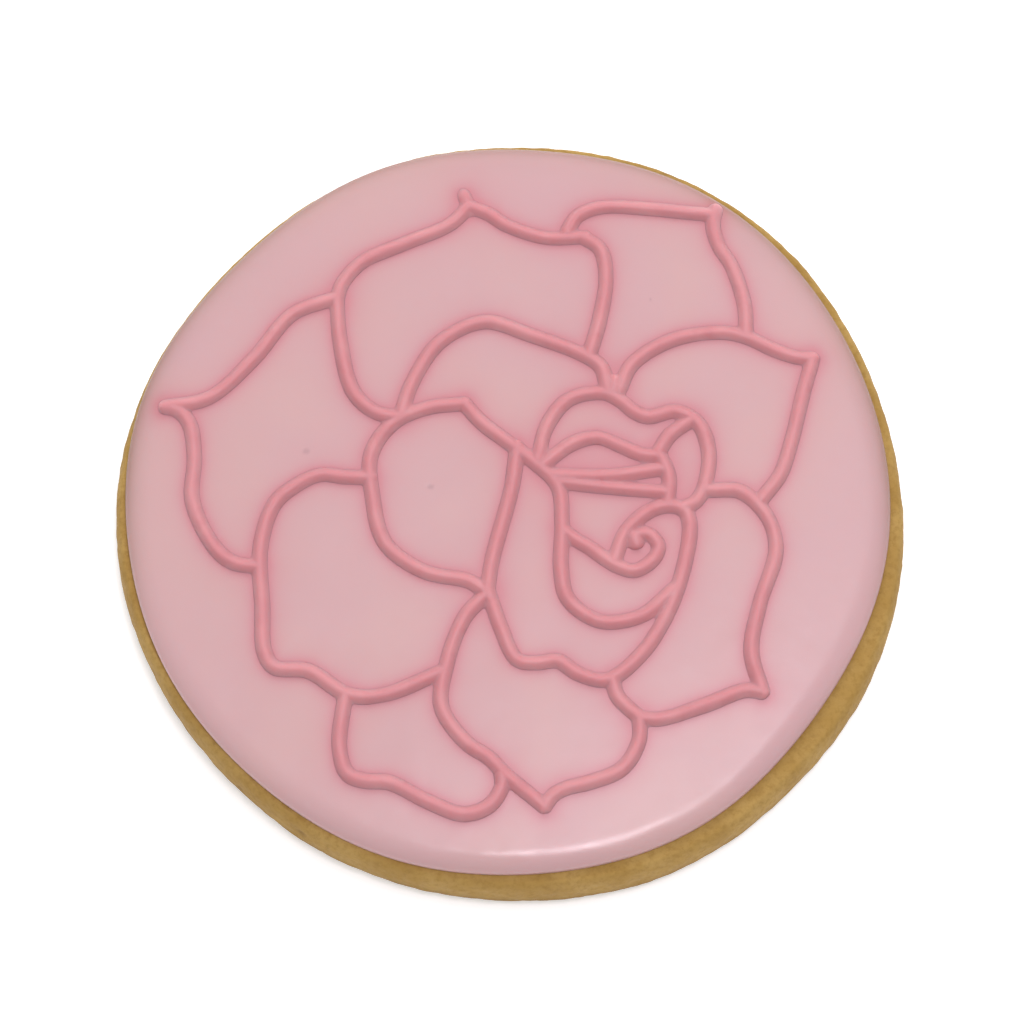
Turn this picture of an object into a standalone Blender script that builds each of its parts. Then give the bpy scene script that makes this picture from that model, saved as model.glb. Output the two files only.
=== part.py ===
"""A round iced biscuit with a piped rose.

The biscuit is a thick disc with softly rounded edges. A layer of set icing lies on it,
rounded at its own edge, and an open rose is piped on the icing.
The frame's origin is the centre of the underside, +Z is up and the rose's top is at +Y.
"""
import math

import bmesh
import bpy
import numpy as np

MM = 0.001

# Biscuit, in millimetres
BISCUIT_RADIUS = 39.0
BISCUIT_HEIGHT = 6.0
BELLY_HEIGHT = 2.8        # the side is widest here
FOOT_INSET = 1.9          # how far the flat underside stops short of the widest line
RIM_INSET = 1.0           # the same for the flat top
EDGE_FULLNESS = 2.5       # exponent of the superellipse that rounds the side
BISCUIT_EDGE_POINTS = 5

# Flooded icing, in millimetres
CONTACT_GAP = 0.3         # clearance between two solids that touch
ICING_RADIUS = 37.7
ICING_TOP = 7.9           # at the level middle
ICING_FALL = 0.5          # how far the surface falls from there to the edge
FALL_START = 18.0         # radius where the fall begins
FALL_RINGS = 3
ICING_ROUND_WIDTH = 2.4   # the edge curves down over this width
ICING_EDGE_POINTS = 5

TURN_STEPS = 96

# Baked and flooded outlines are never quite round. Each wave is its count round the
# edge, its height in millimetres and its phase in degrees.
BISCUIT_WAVES = [
    (1, 0.12, 40), (2, 0.12, 170), (3, 0.3, -170), (4, 0.08, -35),
    (5, 0.12, -130), (6, 0.12, -40), (8, 0.06, 180),
]
ICING_WAVES = [
    (1, 0.6, 125), (2, 0.25, 130), (3, 0.2, 140), (4, 0.12, -5),
    (6, 0.16, -40), (7, 0.1, 15), (8, 0.08, -160),
]

# Piped bead, in millimetres
BEAD_RADIUS = 0.62
BEAD_LIFT = 0.15          # height of the bead's centre over the icing
CURL_END_RADIUS = 0.70    # the blob at the middle of the bud's curl
TAIL_RADIUS = 1.0         # the tail at the rose's top, where the nozzle lifted off
TAIL_LIFT = -0.3          # the tail has sunk into the icing
RING_SPACING = 1.9        # along a straight bead
RING_TURN = 27.0          # degrees of bend that cost as much as one spacing
PATH_STEPS = 24           # fine steps between two knots before the rings are placed
END_STEPS = (0.0, 0.3)    # ring places near an end, as shares of the bead radius

# The rose's piped lines: the centre of each bead in millimetres, seen from above.
# A line passes smoothly through its knots. It ends where it runs into another or turns
# sharply, and its first and last knots are the centres of its round ends.
OUTER_PETALS = {
    "left_top": [(-17.7, 21.3), (-21.9, 19.6), (-25.6, 14.9), (-30.0, 10.7), (-34.4, 9.8)],
    "left_side": [
        (-34.4, 9.8), (-33.1, 9.4), (-31.9, 8.0), (-31.3, 4.4), (-31.4, 0.0), (-29.2, -4.8),
        (-27.3, -6.5), (-24.7, -7.0),
    ],
    "upper_left_inner": [(-17.5, 21.3), (-17.1, 16.6), (-15.7, 11.2), (-13.5, 9.1), (-11.3, 8.6)],
    "upper_left_outer": [
        (-17.5, 21.0), (-17.0, 22.8), (-15.0, 25.2), (-10.8, 27.2), (-6.2, 29.3), (-4.4, 31.2),
    ],
    "top_dip": [(-4.2, 31.2), (-2.3, 30.4), (-0.6, 29.2), (3.4, 27.8), (7.4, 27.9)],
    "top_side": [(7.0, 27.9), (8.8, 26.6), (9.4, 23.6), (8.7, 18.8), (7.7, 15.2)],
    "upper_right_top": [(5.6, 28.6), (6.6, 30.2), (9.0, 31.2), (14.4, 31.0), (17.3, 30.7), (20.3, 30.4)],
    "upper_right_side": [(20.5, 31.2), (20.2, 29.2), (20.8, 26.9), (22.0, 24.8), (23.2, 20.6), (23.3, 17.6)],
    "right_top": [
        (10.6, 11.4), (11.9, 14.1), (15.8, 16.7), (21.0, 17.6), (23.6, 17.0), (25.8, 15.9),
        (28.2, 15.0), (29.9, 14.9),
    ],
    "right_side": [(29.9, 14.9), (28.8, 11.0), (27.6, 6.2), (26.4, 2.6), (24.6, 0.1)],
    "lower_right_side": [
        (19.4, 0.9), (22.4, 0.8), (25.0, -1.8), (25.8, -5.2), (24.1, -10.8), (23.2, -15.6), (24.2, -19.7),
    ],
    "lower_right_foot": [(24.2, -19.7), (22.6, -19.5), (18.6, -21.0), (14.3, -22.4), (12.3, -22.3)],
    "bottom_step": [(9.7, -18.4), (10.2, -20.2), (12.3, -22.3)],
    "bottom_right": [
        (12.3, -22.3), (12.2, -24.6), (10.6, -27.3), (7.4, -28.7), (5.1, -29.3), (3.9, -30.0), (3.1, -31.1),
    ],
    "bottom_left": [
        (-2.4, -9.7), (-4.6, -12.2), (-6.3, -16.8), (-6.8, -21.2), (-4.4, -24.8),
        (-2.2, -26.3), (-0.6, -28.0), (1.2, -29.5), (3.1, -31.1),
    ],
    "small_lower_left": [
        (-16.1, -20.0), (-16.6, -25.2), (-15.8, -27.8), (-14.2, -28.5), (-11.8, -28.7),
        (-8.0, -30.6), (-4.6, -31.8), (-2.2, -31.0), (-1.0, -29.2), (-1.0, -28.0),
    ],
    "large_lower_left": [
        (-13.9, 2.2), (-16.5, 2.3), (-18.9, 2.5), (-21.4, 1.3), (-23.3, -0.5), (-24.6, -5.0),
        (-24.3, -11.0), (-24.0, -15.6), (-23.0, -17.2), (-19.7, -17.6), (-15.8, -20.0),
        (-12.4, -20.0), (-6.8, -17.7),
    ],
}
INNER_PETALS = {
    "inner_arc": [
        (-11.0, 8.8), (-9.9, 12.2), (-7.2, 16.5), (-2.8, 18.7), (1.8, 17.3), (7.0, 15.2),
        (8.8, 13.9), (9.5, 11.4),
    ],
    "inner_left": [
        (-2.5, -9.6), (-4.2, -8.5), (-8.6, -7.5), (-12.4, -4.6), (-13.7, 0.2),
        (-13.9, 4.6), (-11.8, 7.9), (-8.2, 9.6), (-4.7, 10.0),
    ],
    "inner_right": [
        (-4.7, 10.0), (-3.1, 8.1), (-0.5, 6.0), (2.1, 3.9), (4.5, 1.3), (4.9, -2.6), (4.8, -7.4),
        (5.5, -10.4), (8.6, -12.6), (12.6, -12.0), (15.9, -9.2),
    ],
    "divider": [(0.5, 5.5), (0.0, 1.4), (-2.0, -6.6), (-2.4, -9.6)],
    "arch_join": [(10.2, 12.4), (10.0, 11.4)],
    "cup_outer": [
        (-2.3, -9.6), (-1.1, -13.2), (0.5, -16.5), (2.5, -16.8), (4.4, -16.6), (6.4, -17.9),
        (9.2, -18.5), (12.7, -15.7), (15.4, -11.1), (17.0, -6.0), (17.4, -2.6), (16.9, -1.2),
        (15.4, -0.7), (13.4, -1.3), (11.1, -3.5), (10.0, -6.4),
    ],
}
BUD = {
    "bud_outline": [
        (2.6, 4.2), (3.4, 7.5), (5.6, 10.4), (9.0, 11.1), (10.7, 10.3), (12.0, 9.2), (13.4, 8.6),
        (16.2, 9.2), (18.4, 7.9), (19.4, 4.8), (18.8, 1.0), (18.0, -0.3), (16.8, -0.9),
    ],
    "bud_lip": [(17.9, 8.4), (15.6, 6.7), (14.4, 4.8)],
    "bud_post": [(14.4, 4.9), (15.4, 2.4), (15.3, -0.5)],
    "upper_fold": [(3.0, 3.5), (6.0, 5.8), (8.4, 6.4), (11.0, 5.4), (12.6, 4.7), (14.3, 4.5)],
    "middle_fold": [(3.8, 2.5), (9.4, 2.4), (14.6, 3.1)],
    "lower_fold": [(4.4, 1.8), (9.4, 1.2), (15.2, 0.7)],
    "curl": [
        (4.9, -3.1), (6.2, -4.2), (7.5, -5.0), (10.2, -6.9), (12.0, -7.4), (13.9, -6.1),
        (14.3, -4.8), (13.3, -3.6), (12.4, -3.7), (12.0, -4.3),
    ],
}
CURL_END = {
    "curl_end": [(12.0, -4.1), (12.1, -4.5)],
}
TAIL = {
    "tail": [(-4.3, 31.0), (-4.8, 32.4)],
}
LINE_GROUPS = [
    (OUTER_PETALS, BEAD_RADIUS, BEAD_LIFT),
    (INNER_PETALS, BEAD_RADIUS, BEAD_LIFT),
    (BUD, BEAD_RADIUS, BEAD_LIFT),
    (CURL_END, CURL_END_RADIUS, BEAD_LIFT),
    (TAIL, TAIL_RADIUS, TAIL_LIFT),
]

BISCUIT_COLOUR = (0.371, 0.227, 0.082, 1.0)
ICING_COLOUR = (0.716, 0.429, 0.445, 1.0)
PIPING_COLOUR = (0.687, 0.333, 0.356, 1.0)


def clear_scene():
    for obj in list(bpy.data.objects):
        bpy.data.objects.remove(obj, do_unlink=True)


def make_collection(name):
    collection = bpy.data.collections.new(name)
    bpy.context.scene.collection.children.link(collection)
    return collection


def make_material(name, colour, roughness):
    material = bpy.data.materials.new(name)
    material.use_nodes = True
    shader = material.node_tree.nodes["Principled BSDF"]
    shader.inputs["Base Color"].default_value = colour
    shader.inputs["Roughness"].default_value = roughness
    shader.inputs["Metallic"].default_value = 0.0
    return material


def edge_wave(angle, waves):
    """Outward push of an uneven outline at an angle, in millimetres."""
    push = 0.0 * angle
    for count, height, phase in waves:
        push = push + height * np.cos(count * angle - math.radians(phase))
    return push


def flooded_top(reach):
    """Height the icing set at, which falls by the square of the way outwards."""
    outward = np.clip((reach - FALL_START) / (ICING_RADIUS - FALL_START), 0.0, 1.0)
    return ICING_TOP - ICING_FALL * outward ** 2


def icing_height(x, y):
    """Height of the icing's upper surface, with a quarter ellipse down to its foot."""
    reach = np.hypot(x, y)
    foot = ICING_RADIUS + edge_wave(np.arctan2(y, x), ICING_WAVES)
    inside = np.clip((foot - reach) / ICING_ROUND_WIDTH, 0.0, 1.0)
    underside = BISCUIT_HEIGHT + CONTACT_GAP
    return underside + (flooded_top(reach) - underside) * np.sqrt(1.0 - (1.0 - inside) ** 2)


def biscuit_profile():
    """Half section, top centre to bottom centre, with two superellipse quarters as its side."""
    power = 2.0 / EDGE_FULLNESS
    turn = np.linspace(0.0, math.pi / 2, BISCUIT_EDGE_POINTS)
    across = np.cos(turn) ** power
    along = np.sin(turn) ** power
    across[-1] = 0.0
    upper_r = BISCUIT_RADIUS - RIM_INSET * (1.0 - across)
    upper_z = BELLY_HEIGHT + (BISCUIT_HEIGHT - BELLY_HEIGHT) * along
    lower_r = BISCUIT_RADIUS - FOOT_INSET * (1.0 - across)
    lower_z = BELLY_HEIGHT * (1.0 - along)
    points = [(0.0, BISCUIT_HEIGHT)]
    points += list(zip(upper_r[::-1], upper_z[::-1]))
    points += list(zip(lower_r[1:], lower_z[1:]))
    points.append((0.0, 0.0))
    return points


def icing_profile():
    """Half section of the icing layer: falling top, quarter-ellipse edge, flat underside."""
    underside = BISCUIT_HEIGHT + CONTACT_GAP
    inner = ICING_RADIUS - ICING_ROUND_WIDTH
    top_r = np.linspace(FALL_START, inner, FALL_RINGS, endpoint=False)
    turn = np.linspace(math.pi / 2, 0.0, ICING_EDGE_POINTS)
    edge_r = inner + ICING_ROUND_WIDTH * np.cos(turn)
    edge_z = underside + (flooded_top(edge_r) - underside) * np.sin(turn)
    points = [(0.0, ICING_TOP)]
    points += list(zip(top_r, flooded_top(top_r)))
    points += list(zip(edge_r, edge_z))
    points.append((0.0, underside))
    return points


def evaluated_mesh(obj):
    """A plain mesh of the object with its modifiers or bevel applied."""
    depsgraph = bpy.context.evaluated_depsgraph_get()
    return bpy.data.meshes.new_from_object(obj.evaluated_get(depsgraph))


def turned_solid(name, profile, collection, material):
    """Turn a half section round Z. The section runs down its outer side."""
    mesh = bpy.data.meshes.new(name)
    verts = [(r * MM, 0.0, z * MM) for r, z in profile]
    edges = [(i, i + 1) for i in range(len(verts) - 1)]
    mesh.from_pydata(verts, edges, [])
    obj = bpy.data.objects.new(name, mesh)
    collection.objects.link(obj)
    screw = obj.modifiers.new("turn", 'SCREW')
    screw.axis = 'Z'
    screw.angle = math.radians(360)
    screw.steps = TURN_STEPS
    screw.render_steps = TURN_STEPS
    screw.use_merge_vertices = True
    screw.merge_threshold = 0.00001
    solid = evaluated_mesh(obj)
    obj.modifiers.clear()
    obj.data = solid
    obj.data.materials.append(material)
    bpy.data.meshes.remove(mesh)
    return obj


def make_uneven(obj, radius, waves):
    """Push the outline in and out; the push fades evenly towards the middle."""
    mesh = obj.data
    coords = np.empty(len(mesh.vertices) * 3)
    mesh.vertices.foreach_get("co", coords)
    coords = coords.reshape(-1, 3)
    angle = np.arctan2(coords[:, 1], coords[:, 0])
    coords[:, :2] *= (1.0 + edge_wave(angle, waves) / radius)[:, None]
    mesh.vertices.foreach_set("co", coords.ravel())
    mesh.update()


def smooth_path(knots):
    """Fine points of a centripetal Catmull-Rom curve through the knots."""
    points = np.array(knots, dtype=float)
    first = 2 * points[0] - points[1]
    last = 2 * points[-1] - points[-2]
    points = np.vstack([first, points, last])
    gaps = np.sqrt(np.linalg.norm(np.diff(points, axis=0), axis=1))
    fine = []
    for i in range(1, len(points) - 2):
        p0, p1, p2, p3 = points[i - 1:i + 3]
        g0, g1, g2 = gaps[i - 1:i + 2]
        tangent_in = (p1 - p0) / g0 - (p2 - p0) / (g0 + g1) + (p2 - p1) / g1
        tangent_out = (p2 - p1) / g1 - (p3 - p1) / (g1 + g2) + (p3 - p2) / g2
        t = np.linspace(0.0, 1.0, PATH_STEPS, endpoint=False)[:, None]
        blend = t * t * (3.0 - 2.0 * t)
        lead = t * (1.0 - t) ** 2 * g1
        trail = t * t * (t - 1.0) * g1
        fine.append(p1 * (1.0 - blend) + p2 * blend + tangent_in * lead + tangent_out * trail)
    fine.append(points[-2:-1])
    return np.vstack(fine)


def ring_places(path, radius):
    """Distances along a path where the bead gets a ring, closer together in the bends."""
    step = np.diff(path, axis=0)
    length = np.linalg.norm(step, axis=1)
    heading = np.unwrap(np.arctan2(step[:, 1], step[:, 0]))
    turn = np.degrees(np.abs(np.diff(heading, prepend=heading[0])))
    distance = np.concatenate([[0.0], np.cumsum(length)])
    cost = np.concatenate([[0.0], np.cumsum(length / RING_SPACING + turn / RING_TURN)])
    rings = max(3, math.ceil(cost[-1]) + 1)
    places = np.interp(np.linspace(0.0, cost[-1], rings), cost, distance)[1:-1]
    ends = np.array(END_STEPS) * radius
    total = distance[-1]
    places = places[(places > radius * 0.8) & (places < total - radius * 0.8)]
    return np.concatenate([ends, places, total - ends[::-1]]), distance


def with_round_ends(path, radius):
    """The path made longer by the radius at both ends, straight on."""
    first = (path[0] - path[1]) / np.linalg.norm(path[0] - path[1])
    last = (path[-1] - path[-2]) / np.linalg.norm(path[-1] - path[-2])
    return np.vstack([path[0] + first * radius, path, path[-1] + last * radius])


def make_bead(name, knots, radius, lift, collection, material):
    """One piped line: a round bead with rounded ends that follows the icing's surface."""
    path = with_round_ends(smooth_path(knots), radius)
    places, distance = ring_places(path, radius)
    x = np.interp(places, distance, path[:, 0])
    y = np.interp(places, distance, path[:, 1])
    z = icing_height(x, y) + lift
    to_end = np.minimum(places, distance[-1] - places) / radius
    # Radius of a round end, kept open enough for a small flat cap.
    width = np.sqrt(1.0 - (1.0 - np.clip(0.12 + to_end, 0.0, 1.0)) ** 2)
    curve = bpy.data.curves.new(name, 'CURVE')
    curve.dimensions = '3D'
    curve.twist_mode = 'Z_UP'
    curve.bevel_depth = radius * MM
    curve.bevel_resolution = 2
    curve.use_fill_caps = True
    spline = curve.splines.new('POLY')
    spline.points.add(len(places) - 1)
    for point, px, py, pz, pw in zip(spline.points, x, y, z, width):
        point.co = (px * MM, py * MM, pz * MM, 1.0)
        point.radius = pw
    guide = bpy.data.objects.new(name, curve)
    collection.objects.link(guide)
    mesh = evaluated_mesh(guide)
    bm = bmesh.new()
    bm.from_mesh(mesh)
    bmesh.ops.remove_doubles(bm, verts=bm.verts, dist=0.000001)
    bmesh.ops.recalc_face_normals(bm, faces=bm.faces)
    bm.to_mesh(mesh)
    bm.free()
    bead = bpy.data.objects.new(name + "_bead", mesh)
    bead.matrix_world = guide.matrix_world
    mesh.materials.clear()
    mesh.materials.append(material)
    collection.objects.link(bead)
    bpy.data.objects.remove(guide, do_unlink=True)
    bpy.data.curves.remove(curve)
    return bead


def fuse(obj, beads):
    """Join every bead of a collection to the object and drop the loose copies."""
    union = obj.modifiers.new("piping", 'BOOLEAN')
    union.operation = 'UNION'
    union.operand_type = 'COLLECTION'
    union.collection = beads
    union.solver = 'EXACT'
    fused = evaluated_mesh(obj)
    obj.modifiers.clear()
    obj.data = fused
    for bead in list(beads.objects):
        bpy.data.objects.remove(bead, do_unlink=True)
    bpy.data.collections.remove(beads)


def finish_shading(obj):
    obj.data.shade_smooth()
    obj.data.set_sharp_from_angle(angle=math.radians(35))


def build():
    clear_scene()
    model = make_collection("iced_biscuit")
    baked = make_material("baked_biscuit", BISCUIT_COLOUR, 0.8)
    flood = make_material("pale_icing", ICING_COLOUR, 0.35)
    piping = make_material("deeper_icing", PIPING_COLOUR, 0.4)

    biscuit = turned_solid("biscuit", biscuit_profile(), model, baked)
    make_uneven(biscuit, BISCUIT_RADIUS, BISCUIT_WAVES)
    finish_shading(biscuit)

    icing = turned_solid("icing", icing_profile(), model, flood)
    make_uneven(icing, ICING_RADIUS, ICING_WAVES)
    beads = make_collection("piped_lines")
    for lines, radius, lift in LINE_GROUPS:
        for name, knots in lines.items():
            make_bead(name, knots, radius, lift, beads, piping)
    fuse(icing, beads)
    finish_shading(icing)


build()
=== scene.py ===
# Round iced biscuit with a piped open rose: finish, light and camera.
# Lengths in the settings of the food and the camera are millimetres, and mm turns them into
# metres. Materials, floor and lights are in metres.
import math

import bpy
import numpy as np
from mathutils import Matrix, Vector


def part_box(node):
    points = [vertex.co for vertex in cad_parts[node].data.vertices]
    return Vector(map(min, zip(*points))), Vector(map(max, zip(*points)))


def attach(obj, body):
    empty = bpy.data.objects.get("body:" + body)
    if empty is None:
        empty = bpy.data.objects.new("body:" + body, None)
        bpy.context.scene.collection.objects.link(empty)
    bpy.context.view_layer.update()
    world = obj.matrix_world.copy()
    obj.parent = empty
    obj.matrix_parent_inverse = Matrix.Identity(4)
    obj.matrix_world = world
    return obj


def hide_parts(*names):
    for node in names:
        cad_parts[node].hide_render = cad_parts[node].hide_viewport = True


mm = 0.001
tiny = 0.001        # mm, less than any real step in height
latticeSide = 64    # cells after which the random fields repeat

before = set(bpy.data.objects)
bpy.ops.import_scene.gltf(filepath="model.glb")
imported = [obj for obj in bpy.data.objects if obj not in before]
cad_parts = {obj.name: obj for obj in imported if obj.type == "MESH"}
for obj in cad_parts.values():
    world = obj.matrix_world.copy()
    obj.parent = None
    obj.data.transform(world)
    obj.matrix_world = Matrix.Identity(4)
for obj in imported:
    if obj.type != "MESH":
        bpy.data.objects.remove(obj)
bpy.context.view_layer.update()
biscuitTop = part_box("biscuit")[1].z / mm
print("frame loaded:", sorted(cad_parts))


# Random fields

def latticeNoise(points, cell, seed):
    # Random values on a cubic lattice, blended by a smoothstep between the eight corners. -1 to 1.
    table = np.random.default_rng(seed).random((latticeSide,) * 3) * 2.0 - 1.0
    place = points / cell
    corner = np.floor(place).astype(int)
    part = place - corner
    part = part * part * (3.0 - 2.0 * part)
    total = np.zeros(len(points))
    for shift in np.ndindex(2, 2, 2):
        weight = np.prod(np.where(np.array(shift) == 1, part, 1.0 - part), axis=1)
        index = (corner + np.array(shift)) % latticeSide
        total += weight * table[index[:, 0], index[:, 1], index[:, 2]]
    return total


def layeredNoise(points, cell, seed, layers=3):
    # Sum of lattice fields, each half as coarse and half as strong as the one before.
    total = np.zeros(len(points))
    for layer in range(layers):
        total += latticeNoise(points, cell / 2 ** layer, seed + layer) / 2 ** layer
    return total


def poreNoise(points, cell, seed):
    # Distance to the nearest of the random points, one in each lattice cell, in cells.
    table = np.random.default_rng(seed).random((latticeSide,) * 3 + (3,))
    place = points / cell
    corner = np.floor(place).astype(int)
    nearest = np.full(len(points), 9.0)
    for shift in np.ndindex(3, 3, 3):
        near = corner + np.array(shift) - 1
        wrapped = near % latticeSide
        spot = near + table[wrapped[:, 0], wrapped[:, 1], wrapped[:, 2]]
        nearest = np.minimum(nearest, np.linalg.norm(place - spot, axis=1))
    return nearest


def outlinePush(angle, waves):
    # An uneven outline: the sum of height * cos(count * angle - phase) over its waves.
    push = np.zeros_like(angle)
    for count, height, phase in waves:
        push += height * np.cos(count * angle - math.radians(phase))
    return push


# Meshes

def turnedFaces(rows, columns):
    # Quads of a grid that closes round, between a first and a last point at its two poles.
    row, column = np.meshgrid(np.arange(rows - 1), np.arange(columns), indexing="ij")
    after = (column + 1) % columns
    a = row * columns + column + 1
    b = row * columns + after + 1
    quads = np.stack([a, a + columns, b + columns, b], axis=-1).reshape(-1, 4)
    ring = np.arange(columns)
    ringAfter = (ring + 1) % columns
    last = rows * columns + 1
    top = np.stack([np.zeros_like(ring), ring + 1, ringAfter + 1], axis=-1)
    base = (rows - 1) * columns + 1
    bottom = np.stack([np.full_like(ring, last), base + ringAfter, base + ring], axis=-1)
    return quads.tolist() + top.tolist() + bottom.tolist()


def addPiece(name, points, faces, node, material):
    mesh = bpy.data.meshes.new(name)
    mesh.from_pydata((points * mm).tolist(), [], faces)
    mesh.validate()
    mesh.shade_smooth()
    piece = bpy.data.objects.new(name, mesh)
    bpy.context.scene.collection.objects.link(piece)
    mesh.materials.append(material)
    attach(piece, "root")
    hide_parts(node)
    return piece


def pointField(piece, name, values):
    field = piece.data.attributes.new(name, 'FLOAT', 'POINT')
    field.data.foreach_set("value", np.asarray(values, dtype=np.float32))


# Material helpers

def linear(red, green, blue):
    # Linear colour of an sRGB one given in 0 to 255.
    value = np.array([red, green, blue]) / 255.0
    low = value / 12.92
    high = ((value + 0.055) / 1.055) ** 2.4
    return (*np.where(value <= 0.04045, low, high), 1.0)


def newMaterial(name):
    material = bpy.data.materials.new(name)
    material.use_nodes = True
    tree = material.node_tree
    return material, tree, tree.nodes["Principled BSDF"]


def addNoise(tree, scale, detail, roughness=0.5):
    coordinates = tree.nodes.new('ShaderNodeTexCoord')
    noise = tree.nodes.new('ShaderNodeTexNoise')
    noise.inputs["Scale"].default_value = scale
    noise.inputs["Detail"].default_value = detail
    noise.inputs["Roughness"].default_value = roughness
    tree.links.new(coordinates.outputs["Object"], noise.inputs["Vector"])
    return noise.outputs["Fac"]


def addPores(tree, scale):
    coordinates = tree.nodes.new('ShaderNodeTexCoord')
    pores = tree.nodes.new('ShaderNodeTexVoronoi')
    pores.inputs["Scale"].default_value = scale
    tree.links.new(coordinates.outputs["Object"], pores.inputs["Vector"])
    return pores.outputs["Distance"]


def addField(tree, name):
    field = tree.nodes.new('ShaderNodeAttribute')
    field.attribute_name = name
    return field.outputs["Fac"]


def remap(tree, source, low, high, outLow=0.0, outHigh=1.0):
    node = tree.nodes.new('ShaderNodeMapRange')
    node.interpolation_type = 'SMOOTHSTEP'
    node.inputs["From Min"].default_value = low
    node.inputs["From Max"].default_value = high
    node.inputs["To Min"].default_value = outLow
    node.inputs["To Max"].default_value = outHigh
    tree.links.new(source, node.inputs["Value"])
    return node.outputs["Result"]


def mixColour(tree, factor, first, second):
    # The node's colour sockets are 6 and 7, and its colour output is 2
    node = tree.nodes.new('ShaderNodeMix')
    node.data_type = 'RGBA'
    for index, value in ((0, factor), (6, first), (7, second)):
        socket = node.inputs[index]
        if isinstance(value, (tuple, float)):
            socket.default_value = value
        else:
            tree.links.new(value, socket)
    return node.outputs[2]


def addBump(tree, height, strength, distance, under=None):
    node = tree.nodes.new('ShaderNodeBump')
    node.inputs["Strength"].default_value = strength
    node.inputs["Distance"].default_value = distance
    tree.links.new(height, node.inputs["Height"])
    if under:
        tree.links.new(under, node.inputs["Normal"])
    return node.outputs["Normal"]


# Camera: the photo looks down at the biscuit from about 71 degrees, here from 40 cm away

cameraSettings = {
    "elevation": 71.0,
    "distance": 400.0,
    "aim": (0.0, 0.0, 4.0),
    "pixelsPerMillimetre": 10.09,   # at the aim, on a picture of 1024 pixels
    "picture": 1024.0,
    "sensor": 36.0,
}


def makeCamera(s):
    tilt = math.radians(s["elevation"])
    data = bpy.data.cameras.new("camera")
    data.sensor_width = s["sensor"]
    data.lens = s["pixelsPerMillimetre"] * s["distance"] * s["sensor"] / s["picture"]
    data.clip_start = 0.01
    camera = bpy.data.objects.new("camera", data)
    bpy.context.scene.collection.objects.link(camera)
    aim = np.array(s["aim"])
    back = np.array([0.0, -math.cos(tilt), math.sin(tilt)])
    camera.location = (aim + back * s["distance"]) * mm
    camera.rotation_euler = (math.radians(90.0) - tilt, 0.0, 0.0)
    bpy.context.scene.camera = camera


makeCamera(cameraSettings)
print("camera set")


# Biscuit

biscuitSettings = {
    "radius": 39.0,
    "belly": 2.8,            # height of the widest line
    "footInset": 1.9,
    "rimInset": 1.0,
    "fullness": 2.5,         # exponent of the superellipse round the side
    "waves": [
        (1, 0.12, 40), (2, 0.12, 170), (3, 0.3, -170), (4, 0.08, -35),
        (5, 0.12, -130), (6, 0.12, -40), (8, 0.06, 180),
    ],
    "columns": 720,
    "sideRows": 26,          # for each of the two quarters of the side
    "topRows": 8,
    "topWidth": 5.0,         # finely divided rim of the top, under the icing's edge
    "underRows": 46,
    "crumbDepth": 0.055,
    "crumbCell": 1.1,
    "swellDepth": 0.10,      # broad unevenness of the side
    "swellCell": 7.0,
    "poreDepth": 0.16,
    "poreCell": 2.3,
    "sideDepth": 3.0,        # crumb and pores fade out over this way in from the side
    "poreSize": 0.42,        # of their cell
    "porePatch": 4.0,        # pores come in patches
    "patchEdge": 3.0,        # how sharply a patch ends
    "underPores": 0.6,       # depth of the underside's pores, as a share of the side's
    "underDepth": 0.10,      # shallow hollows of the underside, which rests on its high parts
    "underCell": 5.0,
}


def biscuitSection(s):
    # Half section, top to bottom: level top, two superellipse quarters, level underside.
    power = 2.0 / s["fullness"]
    turn = np.linspace(0.0, math.pi / 2, s["sideRows"])
    across = np.abs(np.cos(turn)) ** power
    along = np.sin(turn) ** power
    across[-1] = 0.0
    upperR = s["radius"] - s["rimInset"] * (1.0 - across)
    upperZ = s["belly"] + (biscuitTop - s["belly"]) * along
    lowerR = s["radius"] - s["footInset"] * (1.0 - across)
    lowerZ = s["belly"] * (1.0 - along)
    rim = upperR[-1]
    foot = lowerR[-1]
    topR = np.linspace(rim - s["topWidth"], rim, s["topRows"], endpoint=False)
    underR = np.linspace(foot, 0.0, s["underRows"] + 1, endpoint=False)[1:]
    radius = np.concatenate([topR, upperR[::-1], lowerR[1:], underR])
    topZ = np.full(len(topR), biscuitTop)
    height = np.concatenate([topZ, upperZ[::-1], lowerZ[1:], np.zeros(len(underR))])
    return radius, height


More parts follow.
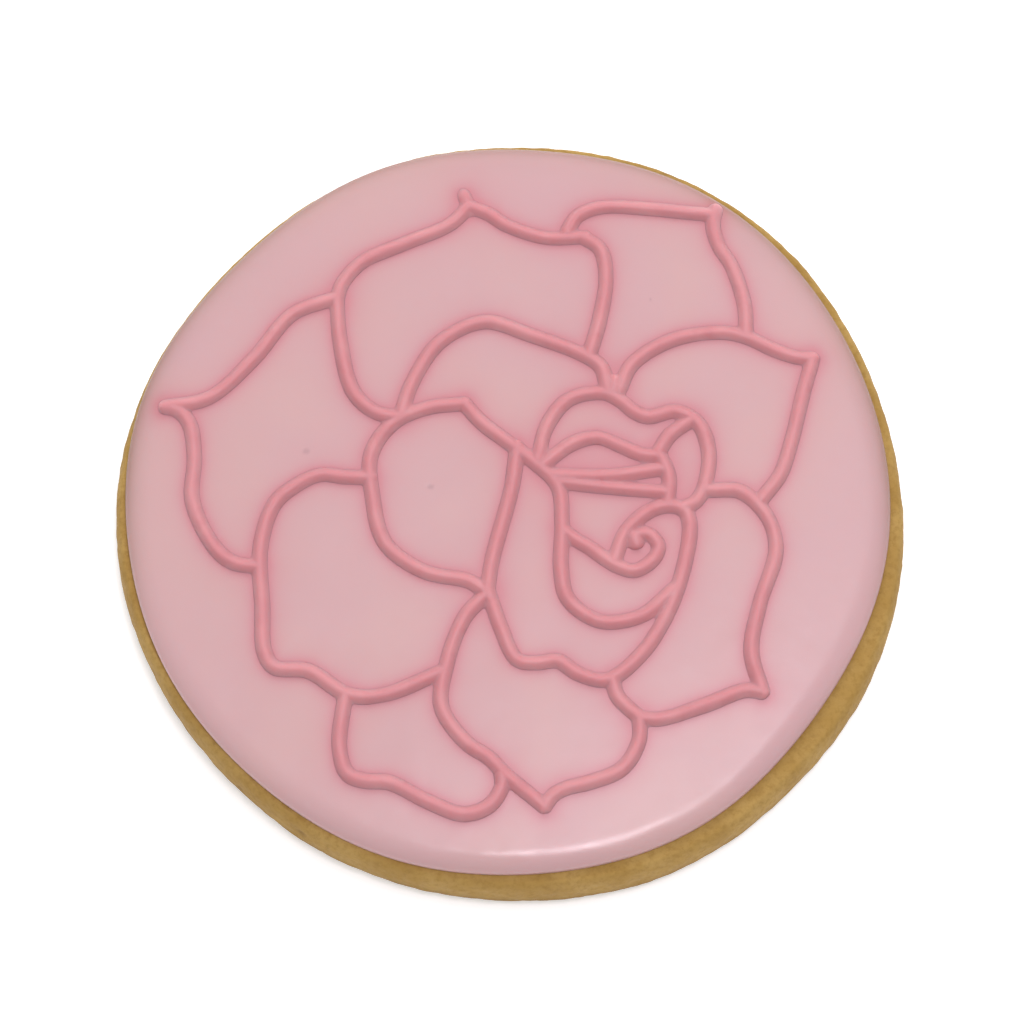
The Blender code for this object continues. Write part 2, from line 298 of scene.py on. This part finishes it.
def makeBiscuit(s, material):
    radius, height = biscuitSection(s)
    angle = np.linspace(0.0, 2 * math.pi, s["columns"], endpoint=False)
    r, a = np.meshgrid(radius, angle, indexing="ij")
    z = np.repeat(height[:, None], s["columns"], axis=1)
    r = r * (1.0 + outlinePush(a, s["waves"]) / s["radius"])
    ring = np.stack([r * np.cos(a), r * np.sin(a), z], axis=-1).reshape(-1, 3)
    points = np.vstack([[0.0, 0.0, biscuitTop], ring, [0.0, 0.0, 0.0]])
    # Outward direction of the section: from a core circle inside the rim
    reach = np.hypot(points[:, 0], points[:, 1])
    core = s["radius"] - s["sideDepth"]
    sideways = np.clip((reach - core) / s["sideDepth"], 0.0, 1.0)
    outward = points[:, :2] / np.maximum(reach, 1e-6)[:, None]
    crumb = layeredNoise(points, s["crumbCell"], 11)
    swell = latticeNoise(points, s["swellCell"], 21)
    # A pore is a cone: full at its random point, and nothing from its own size outwards
    pore = np.clip(s["poreSize"] - poreNoise(points, s["poreCell"], 31), 0.0, 1.0) / s["poreSize"]
    pore *= np.clip(latticeNoise(points, s["porePatch"], 41) * s["patchEdge"], 0.0, 1.0)
    push = s["crumbDepth"] * crumb + s["swellDepth"] * swell - s["poreDepth"] * pore
    points[:, :2] += outward * (push * sideways)[:, None]
    # The underside keeps its high parts on the plate and its hollows above it
    flat = points[:, 2] < tiny
    hollow = s["underDepth"] * np.clip(layeredNoise(points, s["underCell"], 51), 0.0, 1.0)
    hollow += s["underPores"] * s["poreDepth"] * pore
    points[flat, 2] += hollow[flat]
    onTop = (points[:, 2] > biscuitTop - tiny) & (reach > core - s["topWidth"])
    points[onTop, 2] += np.minimum(push[onTop], 0.0)
    faces = turnedFaces(len(radius), s["columns"])
    piece = addPiece("bakedBiscuit", points, faces, "biscuit", material)
    pointField(piece, "rise", points[:, 2] / biscuitTop)
    pointField(piece, "pore", pore)


def biscuitMaterial():
    material, tree, shader = newMaterial("bakedCrumb")
    crumbPale = linear(179, 145, 83)
    crumbGold = linear(167, 132, 70)
    crumbBrown = linear(141, 107, 50)
    crumbPoreShade = linear(120, 88, 44)
    crumbFoot = linear(116, 85, 34)
    broad = remap(tree, addNoise(tree, 210.0, 3.0), 0.35, 0.68)
    colour = mixColour(tree, broad, crumbGold, crumbPale)
    # The side gets darker towards the edge of the underside
    foot = remap(tree, addField(tree, "rise"), 0.60, 0.05, 0.0, 0.9)
    colour = mixColour(tree, foot, colour, crumbFoot)
    fine = remap(tree, addNoise(tree, 1900.0, 4.0, 0.65), 0.40, 0.75, 0.0, 0.5)
    colour = mixColour(tree, fine, colour, crumbBrown)
    # Painted shade: the hollows of the pores are darkened
    poreShade = remap(tree, addField(tree, "pore"), 0.1, 0.9, 0.0, 0.6)
    colour = mixColour(tree, poreShade, colour, crumbPoreShade)
    tree.links.new(colour, shader.inputs["Base Color"])
    rough = remap(tree, addNoise(tree, 900.0, 2.0), 0.3, 0.7, 0.72, 0.9)
    tree.links.new(rough, shader.inputs["Roughness"])
    shader.inputs["Specular IOR Level"].default_value = 0.25
    grain = addBump(tree, addNoise(tree, 2600.0, 6.0, 0.7), 0.3, 0.0002)
    pitted = addBump(tree, addPores(tree, 1500.0), 0.2, 0.00018, grain)
    tree.links.new(pitted, shader.inputs["Normal"])
    return material


makeBiscuit(biscuitSettings, biscuitMaterial())
print("biscuit made")


# Flooded icing

icingSettings = {
    "radius": 37.7,
    "top": 7.9,
    "roundWidth": 2.4,       # the edge curves down over this width
    "tuck": 0.03,            # how far the foot pulls back under the edge
    "tuckHeight": 0.3,
    "tuckRows": 5,
    "sink": 0.12,            # how far the layer's hidden underside lies in the biscuit
    "underInset": 1.4,       # that underside has a ring this far in from the foot
    "underRing": 0.6,        # and one at this share of the radius
    "waves": [
        (1, 0.6, 125), (2, 0.25, 130), (3, 0.2, 140), (4, 0.12, -5),
        (6, 0.16, -40), (7, 0.1, 15), (8, 0.08, -160),
    ],
    "columns": 640,
    "flatRows": 112,
    "edgeRows": 20,
    "fall": 0.5,             # how far the surface falls from its level middle to the edge
    "fallStart": 18.0,
    "swellDepth": 0.055,     # the surface set slightly uneven
    "swellCell": 9.0,
    "rippleDepth": 0.012,
    "rippleCell": 2.4,
    "specks": [(-8.0, 1.3, 0.34), (-20.3, 5.0, 0.38), (13.8, 21.1, 0.16)],   # place and size
    "speckDepth": 0.05,
    "thinShadeWidth": 0.8,        # the rim runs out thin over the crumb on its far side, painted darker there as shade
    "thinShadeNear": 0.15,        # and by this share of that on its near side
    "farFrom": -0.35,        # the far side starts at this sine of the azimuth
    "farOver": 0.45,         # and is reached within this step of the sine
}


def icingSurface(x, y, s):
    # Level top with a broad swell that falls a little, by the square of the way outwards; then a
    # quarter ellipse takes it down at the edge.
    reach = np.hypot(x, y)
    foot = s["radius"] + outlinePush(np.arctan2(y, x), s["waves"])
    inside = np.clip((foot - reach) / s["roundWidth"], 0.0, 1.0)
    outward = np.clip((reach - s["fallStart"]) / (s["radius"] - s["fallStart"]), 0.0, 1.0)
    spot = np.stack([x, y, np.zeros_like(x)], axis=-1).reshape(-1, 3)
    swell = (s["swellDepth"] * latticeNoise(spot, s["swellCell"], 61)).reshape(x.shape)
    swell -= s["fall"] * outward ** 2
    foothold = biscuitTop + s["tuckHeight"]
    return foothold + (s["top"] + swell - foothold) * np.sqrt(1.0 - (1.0 - inside) ** 2)


# Piped rose. Each line's knots are the centre of its bead seen from above; the first and the last
# are the centres of its round ends.

roseLines = {
    "leftTop": [(-17.7, 21.3), (-21.9, 19.6), (-25.6, 14.9), (-30.0, 10.7), (-34.4, 9.8)],
    "leftSide": [
        (-34.4, 9.8), (-33.1, 9.4), (-31.9, 8.0), (-31.3, 4.4), (-31.4, 0.0), (-29.2, -4.8),
        (-27.3, -6.5), (-24.7, -7.0),
    ],
    "upperLeftInner": [(-17.5, 21.3), (-17.1, 16.6), (-15.7, 11.2), (-13.5, 9.1), (-11.3, 8.6)],
    "upperLeftOuter": [
        (-17.5, 21.0), (-17.0, 22.8), (-15.0, 25.2), (-10.8, 27.2), (-6.2, 29.3), (-4.4, 31.2),
    ],
    "topDip": [(-4.2, 31.2), (-2.3, 30.4), (-0.6, 29.2), (3.4, 27.8), (7.4, 27.9)],
    "topSide": [(7.0, 27.9), (8.8, 26.6), (9.4, 23.6), (8.7, 18.8), (7.7, 15.2)],
    "upperRightTop": [
        (5.6, 28.6), (6.6, 30.2), (9.0, 31.2), (14.4, 31.0), (17.3, 30.7), (20.3, 30.4),
    ],
    "upperRightSide": [
        (20.5, 31.2), (20.2, 29.2), (20.8, 26.9), (22.0, 24.8), (23.2, 20.6), (23.3, 17.6),
    ],
    "rightTop": [
        (10.6, 11.4), (11.9, 14.1), (15.8, 16.7), (21.0, 17.6), (23.6, 17.0), (25.8, 15.9),
        (28.2, 15.0), (29.9, 14.9),
    ],
    "rightSide": [(29.9, 14.9), (28.8, 11.0), (27.6, 6.2), (26.4, 2.6), (24.6, 0.1)],
    "lowerRightSide": [
        (19.4, 0.9), (22.4, 0.8), (25.0, -1.8), (25.8, -5.2), (24.1, -10.8), (23.2, -15.6),
        (24.2, -19.7),
    ],
    "lowerRightFoot": [(24.2, -19.7), (22.6, -19.5), (18.6, -21.0), (14.3, -22.4), (12.3, -22.3)],
    "bottomStep": [(9.7, -18.4), (10.2, -20.2), (12.3, -22.3)],
    "bottomRight": [
        (12.3, -22.3), (12.2, -24.6), (10.6, -27.3), (7.4, -28.7), (5.1, -29.3), (3.9, -30.0),
        (3.1, -31.1),
    ],
    "bottomLeft": [
        (-2.4, -9.7), (-4.6, -12.2), (-6.3, -16.8), (-6.8, -21.2), (-4.4, -24.8),
        (-2.2, -26.3), (-0.6, -28.0), (1.2, -29.5), (3.1, -31.1),
    ],
    "smallLowerLeft": [
        (-16.1, -20.0), (-16.6, -25.2), (-15.8, -27.8), (-14.2, -28.5), (-11.8, -28.7),
        (-8.0, -30.6), (-4.6, -31.8), (-2.2, -31.0), (-1.0, -29.2), (-1.0, -28.0),
    ],
    "largeLowerLeft": [
        (-13.9, 2.2), (-16.5, 2.3), (-18.9, 2.5), (-21.4, 1.3), (-23.3, -0.5), (-24.6, -5.0),
        (-24.3, -11.0), (-24.0, -15.6), (-23.0, -17.2), (-19.7, -17.6), (-15.8, -20.0),
        (-12.4, -20.0), (-6.8, -17.7),
    ],
    "innerArc": [
        (-11.0, 8.8), (-9.9, 12.2), (-7.2, 16.5), (-2.8, 18.7), (1.8, 17.3), (7.0, 15.2),
        (8.8, 13.9), (9.5, 11.4),
    ],
    "innerLeft": [
        (-2.5, -9.6), (-4.2, -8.5), (-8.6, -7.5), (-12.4, -4.6), (-13.7, 0.2),
        (-13.9, 4.6), (-11.8, 7.9), (-8.2, 9.6), (-4.7, 10.0),
    ],
    "innerRight": [
        (-4.7, 10.0), (-3.1, 8.1), (-0.5, 6.0), (2.1, 3.9), (4.5, 1.3), (4.9, -2.6), (4.8, -7.4),
        (5.5, -10.4), (8.6, -12.6), (12.6, -12.0), (15.9, -9.2),
    ],
    "divider": [(0.5, 5.5), (0.0, 1.4), (-2.0, -6.6), (-2.4, -9.6)],
    "archJoin": [(10.2, 12.4), (10.0, 11.4)],
    "cupOuter": [
        (-2.3, -9.6), (-1.1, -13.2), (0.5, -16.5), (2.5, -16.8), (4.4, -16.6), (6.4, -17.9),
        (9.2, -18.5), (12.7, -15.7), (15.4, -11.1), (17.0, -6.0), (17.4, -2.6), (16.9, -1.2),
        (15.4, -0.7), (13.4, -1.3), (11.1, -3.5), (10.0, -6.4),
    ],
    "budOutline": [
        (2.6, 4.2), (3.4, 7.5), (5.6, 10.4), (9.0, 11.1), (10.7, 10.3), (12.0, 9.2), (13.4, 8.6),
        (16.2, 9.2), (18.4, 7.9), (19.4, 4.8), (18.8, 1.0), (18.0, -0.3), (16.8, -0.9),
    ],
    "budLip": [(17.9, 8.4), (15.6, 6.7), (14.4, 4.8)],
    "budPost": [(14.4, 4.9), (15.4, 2.4), (15.3, -0.5)],
    "upperFold": [(3.0, 3.5), (6.0, 5.8), (8.4, 6.4), (11.0, 5.4), (12.6, 4.7), (14.3, 4.5)],
    "middleFold": [(3.8, 2.5), (9.4, 2.4), (14.6, 3.1)],
    "lowerFold": [(4.4, 1.8), (9.4, 1.2), (15.2, 0.7)],
    "curl": [
        (4.9, -3.1), (6.2, -4.2), (7.5, -5.0), (10.2, -6.9), (12.0, -7.4), (13.9, -6.1),
        (14.3, -4.8), (13.3, -3.6), (12.4, -3.7), (12.0, -4.3),
    ],
    "curlEnd": [(12.0, -4.1), (12.1, -4.5)],
    "tail": [(-4.3, 31.0), (-4.8, 32.4)],
}

pipingSettings = {
    "width": 0.85,           # from the centre line to where the bead's skirt runs out on the icing
    "height": 0.69,          # of the crest over the icing
    "fullness": 0.65,        # below 1 the bead's shoulders are rounder, above 1 it is narrower
    "skirtDepth": 0.05,      # how far the skirt lies in the icing
    "keel": 0.35,            # how deep its hidden underside lies in the icing
    "keelWidth": 0.9,        # as a share of the width
    "endReach": 0.8,         # a round end goes on past its centre by this share of the width
    "endRings": 6,
    "sizes": {"curlEnd": 1.2, "tail": 2.1},
    "tailSink": 1.0,         # the tail, where the nozzle lifted off, has sunk into the icing
    "ringSpacing": 0.22,
    "sides": 22,
    "pressure": 0.045,       # how much the hand's pressure swells and thins the bead
    "pressureCell": 3.2,
    "voxel": 0.14,           # the beads melt together where they meet
    "softening": 4,
    "kept": 0.58,            # share of the faces kept, fewest where a bead runs straight
    "bleedShadeStart": 0.8,       # the deeper pink and painted shade round the bead spread into the icing from here
    "bleedShadeWidth": 0.45,
    "washShadeShare": 0.25,       # a part of it, bled pink and painted shade, reaches further
    "washShadeWidth": 1.6,
    "shadedPools": [               # painted shade in narrow gaps between close lines, partly pink run together there: place, size and share
        (11.5, -5.7, 1.5, 0.7), (9.0, 1.7, 1.2, 0.6), (11.0, 1.9, 1.2, 0.6), (13.0, 2.0, 1.2, 0.6),
        (12.6, 3.8, 0.9, 0.6), (10.2, 13.4, 0.9, 0.6), (15.3, 8.4, 0.8, 0.6), (6.5, 4.0, 2.0, 0.4),
        (9.5, 4.3, 2.0, 0.4),
    ],
}


fineSteps = 40      # between two knots, before the rings are placed
fewestRings = 6


def smoothLine(knots, spacing):
    # Centripetal Catmull-Rom curve: a cubic between each two knots, whose tangents come from their
    # neighbours.
    points = np.array(knots, dtype=float)
    points = np.vstack([2 * points[0] - points[1], points, 2 * points[-1] - points[-2]])
    gaps = np.sqrt(np.linalg.norm(np.diff(points, axis=0), axis=1))
    t = np.linspace(0.0, 1.0, fineSteps, endpoint=False)[:, None]
    rise = t * t * (3.0 - 2.0 * t)
    pieces = []
    for i in range(1, len(points) - 2):
        p0, p1, p2, p3 = points[i - 1:i + 3]
        g0, g1, g2 = gaps[i - 1:i + 2]
        tangentIn = (p1 - p0) / g0 - (p2 - p0) / (g0 + g1) + (p2 - p1) / g1
        tangentOut = (p2 - p1) / g1 - (p3 - p1) / (g1 + g2) + (p3 - p2) / g2
        pieces.append(
            p1 * (1.0 - rise) + p2 * rise
            + tangentIn * t * (1.0 - t) ** 2 * g1 + tangentOut * t * t * (t - 1.0) * g1
        )
    fine = np.vstack(pieces + [points[-2:-1]])
    walked = np.concatenate([[0.0], np.cumsum(np.linalg.norm(np.diff(fine, axis=0), axis=1))])
    places = np.linspace(0.0, walked[-1], max(fewestRings, int(walked[-1] / spacing)))
    return np.stack([np.interp(places, walked, fine[:, k]) for k in (0, 1)], axis=1), places


def beadPoints(knots, size, sink, s, seed):
    # The bead's section is a raised cosine over the icing with a flat keel under it. All of it
    # scales down along a circle's arc past the centres of the two ends.
    centre, places = smoothLine(knots, s["ringSpacing"])
    reach = s["width"] * size * s["endReach"]
    extra = np.linspace(0.0, reach, s["endRings"] + 1)[1:]
    first = (centre[0] - centre[1]) / np.linalg.norm(centre[0] - centre[1])
    last = (centre[-1] - centre[-2]) / np.linalg.norm(centre[-1] - centre[-2])
    before = centre[0] + first * extra[::-1, None]
    after = centre[-1] + last * extra[:, None]
    line = np.vstack([before, centre, after])
    beyond = np.concatenate([extra[::-1], np.zeros(len(places)), extra])
    heading = np.gradient(line, axis=0)
    heading /= np.linalg.norm(heading, axis=1)[:, None]
    across = np.stack([-heading[:, 1], heading[:, 0]], axis=1)
    spot = np.column_stack([line, np.full(len(line), float(seed))])
    pressure = 1.0 + s["pressure"] * latticeNoise(spot, s["pressureCell"], 71)
    scale = size * pressure * np.sqrt(np.clip(1.0 - (beyond / reach) ** 2, 0.0, 1.0))
    share = np.linspace(1.0, -1.0, s["sides"] - 2)
    bump = s["height"] * (0.5 + 0.5 * np.cos(math.pi * share)) ** s["fullness"]
    side = s["width"] * np.concatenate([share, [-s["keelWidth"], s["keelWidth"]]])
    up = np.concatenate([bump - s["skirtDepth"], [-s["keel"], -s["keel"]]])
    x = line[:, 0, None] + across[:, 0, None] * side * scale[:, None]
    y = line[:, 1, None] + across[:, 1, None] * side * scale[:, None]
    ground = icingSurface(line[:, 0], line[:, 1], icingSettings) - sink
    z = ground[:, None] + up * scale[:, None]
    rings = np.stack([x, y, z], axis=-1)[1:-1].reshape(-1, 3)
    poles = np.column_stack([line[[0, -1]], ground[[0, -1]]])
    return np.vstack([poles[:1], rings, poles[1:]]), len(line) - 2, centre


def makePiping(s, material):
    allPoints = []
    allFaces = []
    allLines = []
    count = 0
    for seed, (name, knots) in enumerate(roseLines.items()):
        sink = s["tailSink"] if name == "tail" else 0.0
        points, rings, centre = beadPoints(knots, s["sizes"].get(name, 1.0), sink, s, seed)
        faces = turnedFaces(rings, s["sides"])
        allFaces += [[index + count for index in face] for face in faces]
        allPoints.append(points)
        allLines.append(centre)
        count += len(points)
    piece = addPiece("pipedRose", np.vstack(allPoints), allFaces, "icing", material)
    # Melt the crossing beads into one skin, let it settle and drop the faces that it can spare
    melt = piece.modifiers.new("melt", 'REMESH')
    melt.mode = 'VOXEL'
    melt.voxel_size = s["voxel"] * mm
    melt.use_smooth_shade = True
    settle = piece.modifiers.new("settle", 'SMOOTH')
    settle.factor = 0.5
    settle.iterations = s["softening"]
    lighten = piece.modifiers.new("lighten", 'DECIMATE')
    lighten.ratio = s["kept"]
    depsgraph = bpy.context.evaluated_depsgraph_get()
    melted = bpy.data.meshes.new_from_object(piece.evaluated_get(depsgraph))
    piece.modifiers.clear()
    piece.data = melted
    melted.name = "pipedRose"
    melted.shade_smooth()
    points = np.empty(len(melted.vertices) * 3)
    melted.vertices.foreach_get("co", points)
    points = points.reshape(-1, 3) / mm
    ground = icingSurface(points[:, 0], points[:, 1], icingSettings)
    pointField(piece, "rise", points[:, 2] - ground)
    # The low skirts take the same bled pink and painted shade
    pointField(piece, "bleedAndShade", bleedAndShadeFrom(points, allLines, s))
    print("piping:", len(melted.polygons), "faces")
    return allLines


blockSize = 60      # points of a line taken at once, which bounds the memory


def nearestDistance(points, line):
    # Distance of each point, seen from above, to the nearest point of the line, a block at a time.
    nearest = np.full(len(points), 1e9)
    for start in range(0, len(line), blockSize):
        block = line[start:start + blockSize]
        gap = points[:, None, :2] - block[None]
        nearest = np.minimum(nearest, (gap ** 2).sum(axis=2).min(axis=1))
    return np.sqrt(nearest)


def bleedAndShadeFrom(points, lines, s):
    # A line's colour, its pink bled into the icing and painted shade round its bead, dies away as
    # the sum
    # of a short and a long exponential of the distance from its bead. Between several lines it
    # gathers:
    # what stays clear is the product of what each leaves clear. The pools add painted shade in
    # narrow gaps.
    clear = np.ones(len(points))
    for line in lines:
        beyond = np.clip(nearestDistance(points, line) - s["bleedShadeStart"], 0.0, None)
        near = (1.0 - s["washShadeShare"]) * np.exp(-beyond / s["bleedShadeWidth"])
        clear *= 1.0 - near - s["washShadeShare"] * np.exp(-beyond / s["washShadeWidth"])
    # Painted shade, in deeper pink, in the narrow gaps between lines
    for x, y, size, share in s["shadedPools"]:
        away = (points[:, 0] - x) ** 2 + (points[:, 1] - y) ** 2
        clear *= 1.0 - share * np.exp(-away / size ** 2)
    return 1.0 - clear


def icingSection(s):
    # Half section, top to bottom: level top, quarter ellipse, tucked foot, hidden underside.
    inner = s["radius"] - s["roundWidth"]
    flatR = np.linspace(0.0, inner, s["flatRows"] + 1)[1:]
    turn = np.linspace(math.pi / 2, 0.0, s["edgeRows"])[1:]
    edgeR = inner + s["roundWidth"] * np.cos(turn)
    dip = np.linspace(0.0, 1.0, s["tuckRows"] + 1)[1:]
    tuckR = s["radius"] - s["tuck"] * dip ** 2
    under = np.array([s["radius"] - s["underInset"], s["radius"] * s["underRing"]])
    return np.concatenate([flatR, edgeR, tuckR, under]), len(flatR) + len(edgeR), len(dip)


def makeIcing(s, material, lines):
    radius, upperRows, tuckRows = icingSection(s)
    angle = np.linspace(0.0, 2 * math.pi, s["columns"], endpoint=False)
    r, a = np.meshgrid(radius, angle, indexing="ij")
    push = outlinePush(a, s["waves"])
    # The edge keeps its width: the push acts fully there and fades towards the middle
    r = r + push * np.clip(r / (s["radius"] - s["roundWidth"]), 0.0, 1.0) ** 2
    x = r * np.cos(a)
    y = r * np.sin(a)
    z = icingSurface(x, y, s)
    foothold = biscuitTop + s["tuckHeight"]
    floorZ = biscuitTop - s["sink"]
    drop = np.linspace(0.0, 1.0, tuckRows + 1)[1:]
    z[upperRows:upperRows + tuckRows] = (foothold + (floorZ - foothold) * drop)[:, None]
    z[upperRows + tuckRows:] = floorZ
    spot = np.stack([x, y, z], axis=-1).reshape(-1, 3)
    ripple = s["rippleDepth"] * layeredNoise(spot, s["rippleCell"], 81, 2)
    ripple[upperRows * s["columns"]:] = 0.0
    spot[:, 2] += ripple
    middle = icingSurface(np.zeros(1), np.zeros(1), s)[0]
    points = np.vstack([[0.0, 0.0, middle], spot, [0.0, 0.0, floorZ]])
    # Bled pink and painted shade round the beads, reaching onto the icing
    bleedAndShade = bleedAndShadeFrom(points, lines, pipingSettings)
    speck = np.zeros(len(points))
    for px, py, size in s["specks"]:
        away = np.hypot(points[:, 0] - px, points[:, 1] - py)
        speck = np.maximum(speck, np.exp(-(away / size) ** 2))
    upper = points[:, 2] > foothold
    points[:, 2] -= s["speckDepth"] * speck * upper
    reach = np.hypot(points[:, 0], points[:, 1])
    foot = s["radius"] + outlinePush(np.arctan2(points[:, 1], points[:, 0]), s["waves"])
    # How thin the rim is, with painted shade on its far side: an exponential of the way inwards,
    # stronger on the far side
    sine = points[:, 1] / np.maximum(reach, 1e-6)
    farSide = np.clip((sine - s["farFrom"]) / s["farOver"], 0.0, 1.0)
    thinAndShadedRim = np.exp(-np.clip(foot - reach, 0.0, None) / s["thinShadeWidth"])
    thinAndShadedRim *= s["thinShadeNear"] + (1.0 - s["thinShadeNear"]) * farSide
    faces = turnedFaces(len(radius), s["columns"])
    piece = addPiece("floodedIcing", points, faces, "icing", material)
    pointField(piece, "bleedAndShade", bleedAndShade)
    pointField(piece, "speck", speck)
    pointField(piece, "thinAndShadedRim", thinAndShadedRim)


def setSugar(shader, weight, depth):
    # Sugar paste lets a little light in, most of it red.
    shader.inputs["Subsurface Weight"].default_value = weight
    shader.inputs["Subsurface Radius"].default_value = (1.0, 0.45, 0.4)
    shader.inputs["Subsurface Scale"].default_value = depth
    shader.inputs["IOR"].default_value = 1.45


def paleIcingColour(tree):
    # Pale pink, faintly mottled warmer and cooler, deeper where the piping has bled into it and
    # where shade is painted round the beads.
    pale = linear(205, 166, 168)
    warm = linear(206, 167, 167)
    cool = linear(203, 163, 171)
    bledAndShaded = linear(203, 136, 144)
    colour = mixColour(tree, remap(tree, addNoise(tree, 70.0, 2.0), 0.40, 0.60), pale, warm)
    coolPatches = remap(tree, addNoise(tree, 45.0, 1.0), 0.52, 0.70, 0.0, 0.3)
    colour = mixColour(tree, coolPatches, colour, cool)
    return mixColour(tree, addField(tree, "bleedAndShade"), colour, bledAndShaded)


def icingMaterial():
    material, tree, shader = newMaterial("palePinkIcing")
    rimPink = linear(149, 118, 103)
    grey = linear(150, 122, 124)
    colour = paleIcingColour(tree)
    # Rim colour: thin icing over the crumb, with painted shade on the edge of the far side
    colour = mixColour(tree, addField(tree, "thinAndShadedRim"), colour, rimPink)
    specks = remap(tree, addField(tree, "speck"), 0.1, 1.0, 0.0, 0.3)
    colour = mixColour(tree, specks, colour, grey)
    tree.links.new(colour, shader.inputs["Base Color"])
    rough = remap(tree, addNoise(tree, 160.0, 3.0), 0.35, 0.65, 0.20, 0.27)
    tree.links.new(rough, shader.inputs["Roughness"])
    gloss = remap(tree, addField(tree, "thinAndShadedRim"), 0.2, 0.9, 0.5, 0.15)
    tree.links.new(gloss, shader.inputs["Specular IOR Level"])
    setSugar(shader, 0.35, 0.0009)
    sugar = addBump(tree, addNoise(tree, 2200.0, 3.0), 0.05, 0.0001)
    dimple = addBump(tree, addNoise(tree, 240.0, 2.0), 0.10, 0.0004, sugar)
    tree.links.new(dimple, shader.inputs["Normal"])
    return material


def pipingMaterial():
    material, tree, shader = newMaterial("deepPinkIcing")
    rose = linear(205, 141, 146)
    light = linear(209, 148, 152)
    deep = linear(199, 133, 138)
    bead = mixColour(tree, remap(tree, addNoise(tree, 180.0, 2.0), 0.40, 0.62), rose, light)
    deepPatches = remap(tree, addNoise(tree, 420.0, 3.0), 0.55, 0.75, 0.0, 0.6)
    bead = mixColour(tree, deepPatches, bead, deep)
    body = remap(tree, addField(tree, "rise"), -0.04, 0.12)
    tree.links.new(mixColour(tree, body, paleIcingColour(tree), bead), shader.inputs["Base Color"])
    rough = remap(tree, addNoise(tree, 500.0, 2.0), 0.3, 0.7, 0.48, 0.58)
    tree.links.new(rough, shader.inputs["Roughness"])
    setSugar(shader, 0.8, 0.0012)
    sugar = addBump(tree, addNoise(tree, 2600.0, 3.0), 0.08, 0.0001)
    tree.links.new(sugar, shader.inputs["Normal"])
    return material


pipedLines = makePiping(pipingSettings, pipingMaterial())
print("rose piped")
makeIcing(icingSettings, icingMaterial(), pipedLines)
print("icing flooded")


# Floor, light and view

stageSettings = {
    "floorSize": 3.0,
    "floorColour": (0.93, 0.93, 0.93, 1.0),
    "floorGlow": 0.42,       # the floor is a light table, so that it hardly takes a shadow
    "sky": (1.0, 1.0, 1.0),
    "skyStrength": 0.57,
}

lightSettings = [
    # name, direction it comes from (azimuth, elevation), distance, size, power, colour, whether it
    # is flagged off the gloss
    ("window", 90.0, 36.0, 0.75, (0.60, 0.32), 2.6, (1.0, 0.99, 0.98), True),
    ("panel", 45.0, 70.0, 0.60, (0.25, 0.25), 0.14, (0.95, 0.95, 1.0), False),
    ("ceiling", 22.0, 82.0, 0.60, (0.18, 0.18), 0.40, (0.91, 0.90, 1.0), False),
    ("overhead", -53.0, 80.0, 0.60, (0.10, 0.10), 0.86, (1.0, 0.93, 1.0), False),
]


def makeFloor(s):
    half = s["floorSize"] / 2
    mesh = bpy.data.meshes.new("floor")
    corners = [(-half, -half, 0.0), (half, -half, 0.0), (half, half, 0.0), (-half, half, 0.0)]
    mesh.from_pydata(corners, [], [(0, 1, 2, 3)])
    floor = bpy.data.objects.new("floor", mesh)
    bpy.context.scene.collection.objects.link(floor)
    material, tree, shader = newMaterial("paleFloor")
    shader.inputs["Base Color"].default_value = s["floorColour"]
    shader.inputs["Roughness"].default_value = 0.9
    shader.inputs["Specular IOR Level"].default_value = 0.1
    shader.inputs["Emission Color"].default_value = s["floorColour"]
    shader.inputs["Emission Strength"].default_value = s["floorGlow"]
    mesh.materials.append(material)


def makeSky(s):
    world = bpy.data.worlds.new("softSky")
    world.use_nodes = True
    ground = world.node_tree.nodes["Background"]
    ground.inputs["Color"].default_value = (*s["sky"], 1.0)
    ground.inputs["Strength"].default_value = s["skyStrength"]
    bpy.context.scene.world = world


def makeLight(name, azimuth, elevation, distance, size, power, colour, flagged):
    data = bpy.data.lights.new(name, 'AREA')
    data.shape = 'RECTANGLE'
    data.size, data.size_y = size
    data.energy = power
    data.color = colour
    light = bpy.data.objects.new(name, data)
    light.visible_glossy = not flagged
    bpy.context.scene.collection.objects.link(light)
    turn = math.radians(azimuth)
    rise = math.radians(elevation)
    light.location = (
        distance * math.cos(rise) * math.cos(turn),
        distance * math.cos(rise) * math.sin(turn),
        distance * math.sin(rise),
    )
    light.rotation_euler = (math.radians(90.0) - rise, 0.0, turn + math.radians(90.0))


makeFloor(stageSettings)
makeSky(stageSettings)
for settings in lightSettings:
    makeLight(*settings)
bpy.context.scene.view_settings.view_transform = 'Standard'
print("stage lit")
